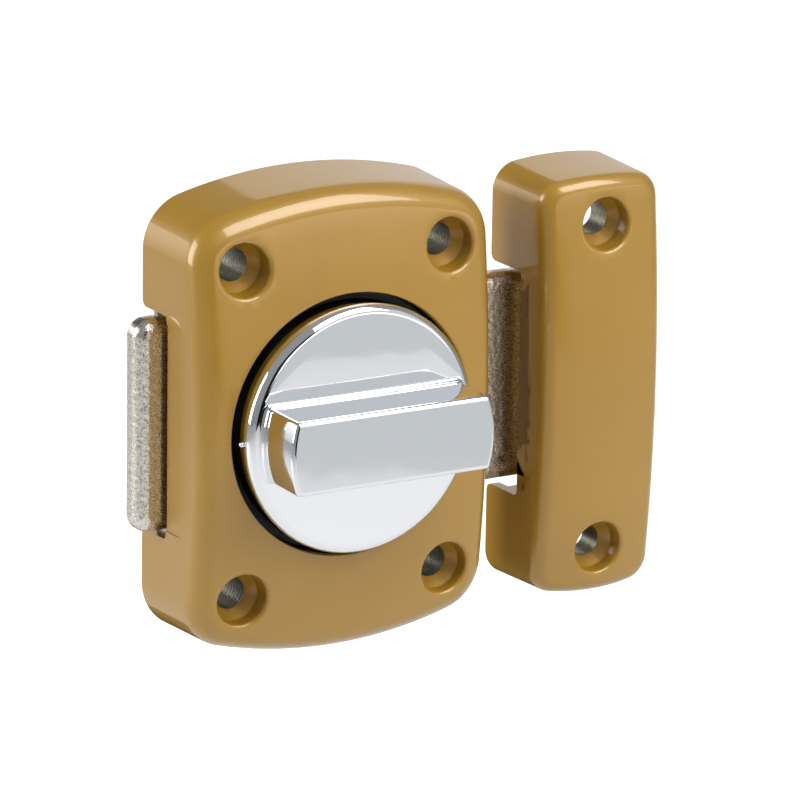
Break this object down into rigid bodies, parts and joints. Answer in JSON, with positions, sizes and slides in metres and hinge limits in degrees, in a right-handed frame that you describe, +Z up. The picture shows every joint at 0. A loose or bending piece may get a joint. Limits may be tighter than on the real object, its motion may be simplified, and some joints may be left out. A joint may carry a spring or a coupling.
{
  "type": "toggle bolt latch",
  "caption": "Surface-mounted door bolt with a crowned bronze-painted case, a chrome turn knob, a sliding flat bolt and a matching strike.",
  "frame": {"origin": "on the knob's axis, in the plane of the case's back, where it lies on the door", "axes": "+Z up the door, -Y out of the door towards the user, +X towards the strike"},
  "size_m": [0.1126, 0.0404, 0.0948],
  "materials": {
    "bronze_paint": "glossy golden-bronze powder coat on cast zinc",
    "chrome": "polished chrome plate",
    "nickel_plate": "nickel plate over a lightly hammered steel surface",
    "zinc_plated_steel": "bright zinc plate",
    "brass": "turned brass",
    "spring_steel": "oiled spring steel",
    "black_nylon": "black nylon",
    "white_nylon": "natural nylon"
  },
  "bodies": {
    "case_side": {"case_shell": "bronze_paint", "back_plate": "zinc_plated_steel", "bearing_bush": "brass", "wave_washer": "spring_steel", "knob_glide_ring": "black_nylon", "pinion_pad": "white_nylon", "guide_pin_upper": "zinc_plated_steel", "rail_glide_upper": "white_nylon", "guide_pin_lower": "zinc_plated_steel", "rail_glide_lower": "white_nylon", "plate_screw_1": "zinc_plated_steel", "plate_screw_2": "zinc_plated_steel", "plate_screw_3": "zinc_plated_steel", "plate_screw_4": "zinc_plated_steel", "strike_body": "bronze_paint"},
    "knob": {"turn_knob": "chrome", "spindle": "zinc_plated_steel", "thrust_washer": "brass", "circlip": "spring_steel", "spacer_sleeve": "zinc_plated_steel", "pinion": "spring_steel"},
    "bolt": {"bolt": "nickel_plate"}
  },
  "joints": [
    {"name": "knob_turn", "type": "hinge", "parent": "case_side", "child": "knob", "pos_m": [0, 0, 0], "axis": [0, -1, 0], "range_deg": [0, 90]},
    {"name": "bolt_slide", "type": "slide", "parent": "case_side", "child": "bolt", "axis": [-1, 0, 0], "range_m": [0, 0.0197]}
  ],
  "couplings": [
    {"joint": "bolt_slide", "follows": "knob_turn", "m_per_rad": 0.0125}
  ]
}
